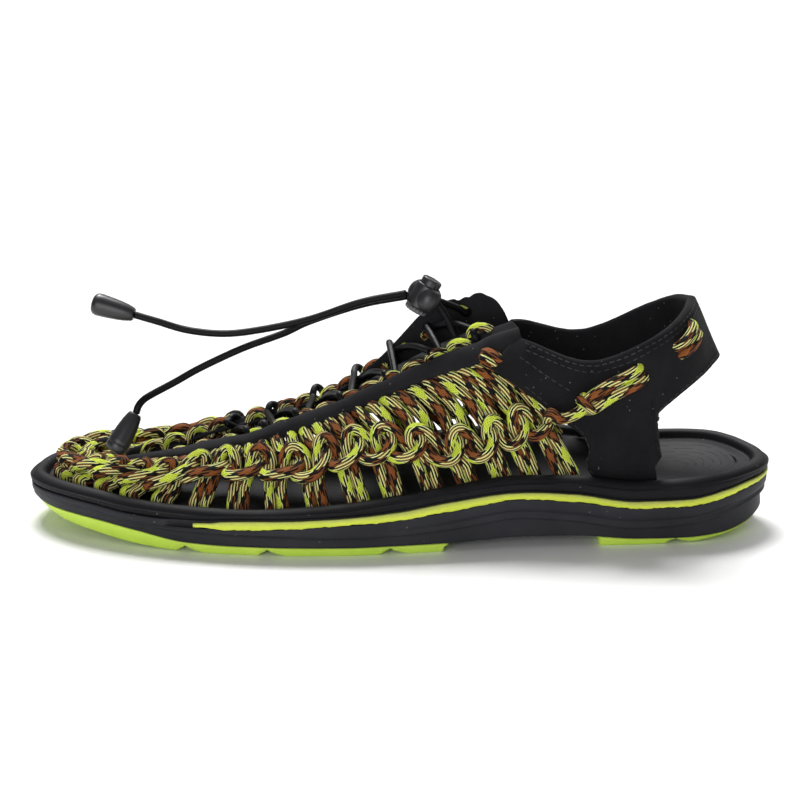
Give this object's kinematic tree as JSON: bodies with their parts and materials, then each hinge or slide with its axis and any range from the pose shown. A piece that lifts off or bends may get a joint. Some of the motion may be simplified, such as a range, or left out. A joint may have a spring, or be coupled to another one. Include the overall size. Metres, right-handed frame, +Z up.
{
  "type": "woven sandal",
  "caption": "Left closed-toe sandal with a knotted cord upper on a moulded sole, an elastic lace with a press lock and an open heel with a padded strap.",
  "frame": {"origin": "centre of the standing shoe's plan box, on the floor", "axes": "+X from toe to heel, -Y towards the outer side of the foot, +Z up from the floor"},
  "size_m": [0.292, 0.1029, 0.0986],
  "materials": {
    "lime_rubber": "matt moulded rubber",
    "lime_stripe": "matt moulded foam",
    "black_foam": "fine-grained moulded foam",
    "footbed_foam": "satin moulded foam with fine grooves",
    "braided_cord": "patterned round braid",
    "microfibre": "brushed",
    "lining_knit": "soft knit",
    "elastic_lace": "tight round braid",
    "black_plastic": "satin moulded"
  },
  "bodies": {
    "sandal": {"outsole_forefoot": "lime_rubber", "outsole_heel": "lime_rubber", "midsole": "black_foam", "stripe": "lime_stripe", "footbed": "footbed_foam", "upper_weave": "braided_cord", "eyestay_outer": "microfibre", "eyestay_inner": "microfibre", "tongue": "lining_knit", "heel_strap": "microfibre", "side_loop_outer": "braided_cord", "side_loop_inner": "braided_cord", "heel_loop_outer": "braided_cord", "heel_loop_inner": "braided_cord", "lace_crossings": "elastic_lace", "lace_end_upper": "elastic_lace", "lace_end_lower": "elastic_lace", "lace_tip_upper": "black_plastic", "lace_tip_lower": "black_plastic", "lock_body": "black_plastic"},
    "press_button": {"lock_button": "black_plastic"}
  },
  "joints": [
    {"name": "lock_press", "type": "slide", "parent": "sandal", "child": "press_button", "axis": [0.5, 0, 0.866], "range_m": [-0.0025, 0], "stiffness_N_per_m": 2000, "springref_m": 0.001}
  ]
}
